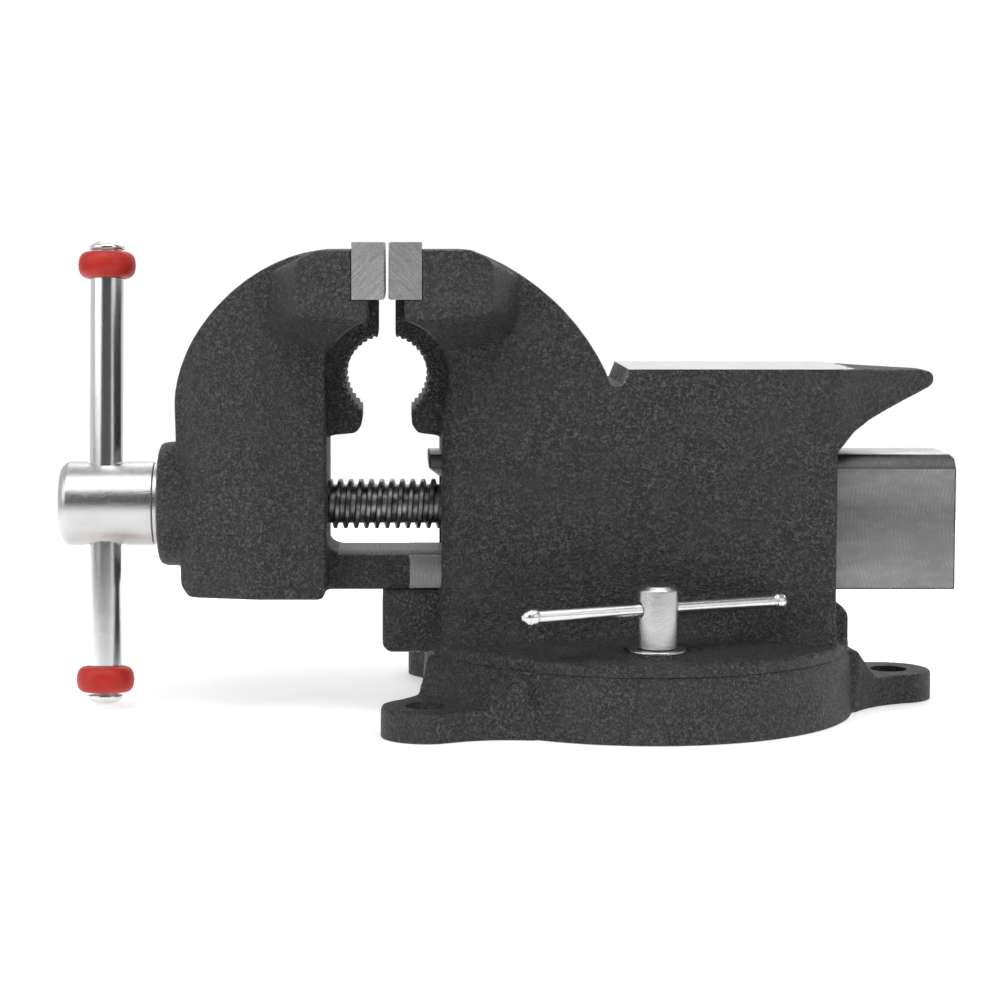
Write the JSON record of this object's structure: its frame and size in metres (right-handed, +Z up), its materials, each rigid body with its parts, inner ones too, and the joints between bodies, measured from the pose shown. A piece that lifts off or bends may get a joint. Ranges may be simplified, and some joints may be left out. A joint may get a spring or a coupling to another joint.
{
  "type": "bench vise",
  "caption": "Bench vise on a swivel base, with toothed jaw plates, pipe jaws, an anvil with a horn, and a lead screw turned by a sliding handle.",
  "frame": {"origin": "on the swivel axis, at the underside of the base where it stands on the bench", "axes": "+Z up, +X along the slide towards the anvil horn and the slide bar's tail, so the moving jaw opens towards -X; +Y to the left when looking along +X"},
  "size_m": [0.428, 0.2203, 0.2259],
  "materials": {
    "cast_paint": "charcoal textured paint on sand-cast iron; the slide bar, the anvil's face and the pipe teeth are bare metal",
    "plate_steel": "ground hardened steel",
    "black_steel": "black oxide, lightly oiled",
    "bare_iron": "bare cast iron",
    "satin_zinc": "satin plated steel",
    "bright_chrome": "bright plated steel",
    "red_rubber": "smooth red rubber"
  },
  "bodies": {
    "base": {"swivel_base": "cast_paint"},
    "body": {"fixed_body": "cast_paint", "fixed_jaw_plate": "plate_steel", "fixed_plate_screw_near": "black_steel", "fixed_plate_screw_far": "black_steel", "main_nut": "bare_iron", "nut_bolt": "black_steel", "nut_bolt_washer": "satin_zinc", "lock_bolt_near": "black_steel", "lock_bolt_far": "black_steel", "lock_washer_near": "satin_zinc", "lock_washer_far": "satin_zinc"},
    "moving_jaw": {"moving_jaw": "cast_paint", "moving_jaw_plate": "plate_steel", "moving_plate_screw_near": "black_steel", "moving_plate_screw_far": "black_steel"},
    "spindle": {"main_screw": "black_steel", "thrust_washer": "satin_zinc", "spindle_head": "satin_zinc", "head_pin": "satin_zinc", "retaining_collar": "black_steel", "collar_pin": "satin_zinc"},
    "handle": {"handle_bar": "bright_chrome", "handle_cap_upper": "bright_chrome", "handle_cap_lower": "bright_chrome", "handle_ring_upper": "red_rubber", "handle_ring_lower": "red_rubber"},
    "lock_nut_near": {"lock_nut_near": "satin_zinc"},
    "lock_bar_near": {"lock_bar_near": "bright_chrome", "lock_knob_near_left": "bright_chrome", "lock_knob_near_right": "bright_chrome"},
    "lock_nut_far": {"lock_nut_far": "satin_zinc"},
    "lock_bar_far": {"lock_bar_far": "bright_chrome", "lock_knob_far_left": "bright_chrome", "lock_knob_far_right": "bright_chrome"}
  },
  "joints": [
    {"name": "swivel", "type": "hinge", "parent": "base", "child": "body", "pos_m": [0, 0, 0.03], "axis": [0, 0, 1], "continuous": true},
    {"name": "jaw_slide", "type": "slide", "parent": "body", "child": "moving_jaw", "axis": [-1, 0, 0], "range_m": [-0.0012, 0.15]},
    {"name": "screw_turn", "type": "hinge", "parent": "moving_jaw", "child": "spindle", "pos_m": [-0.257, 0, 0.0985], "axis": [1, 0, 0], "range_deg": [-10790, 86]},
    {"name": "handle_slide", "type": "slide", "parent": "spindle", "child": "handle", "axis": [0, 0.1045, 0.9945], "range_m": [-0.0873, 0.0563]},
    {"name": "lock_turn_near", "type": "hinge", "parent": "body", "child": "lock_nut_near", "pos_m": [0.003, -0.07494, 0.05], "axis": [0, 0, 1], "range_deg": [-36, 1]},
    {"name": "lock_bar_slide_near", "type": "slide", "parent": "lock_nut_near", "child": "lock_bar_near", "axis": [-0.9135, -0.4067, 0], "range_m": [0, 0.05]},
    {"name": "lock_turn_far", "type": "hinge", "parent": "body", "child": "lock_nut_far", "pos_m": [0.003, 0.07494, 0.05], "axis": [0, 0, 1], "range_deg": [-1, 36]},
    {"name": "lock_bar_slide_far", "type": "slide", "parent": "lock_nut_far", "child": "lock_bar_far", "axis": [-0.9135, 0.4067, 0], "range_m": [0, 0.05]}
  ],
  "couplings": [
    {"joint": "jaw_slide", "follows": "screw_turn", "m_per_rad": -0.00079577}
  ]
}
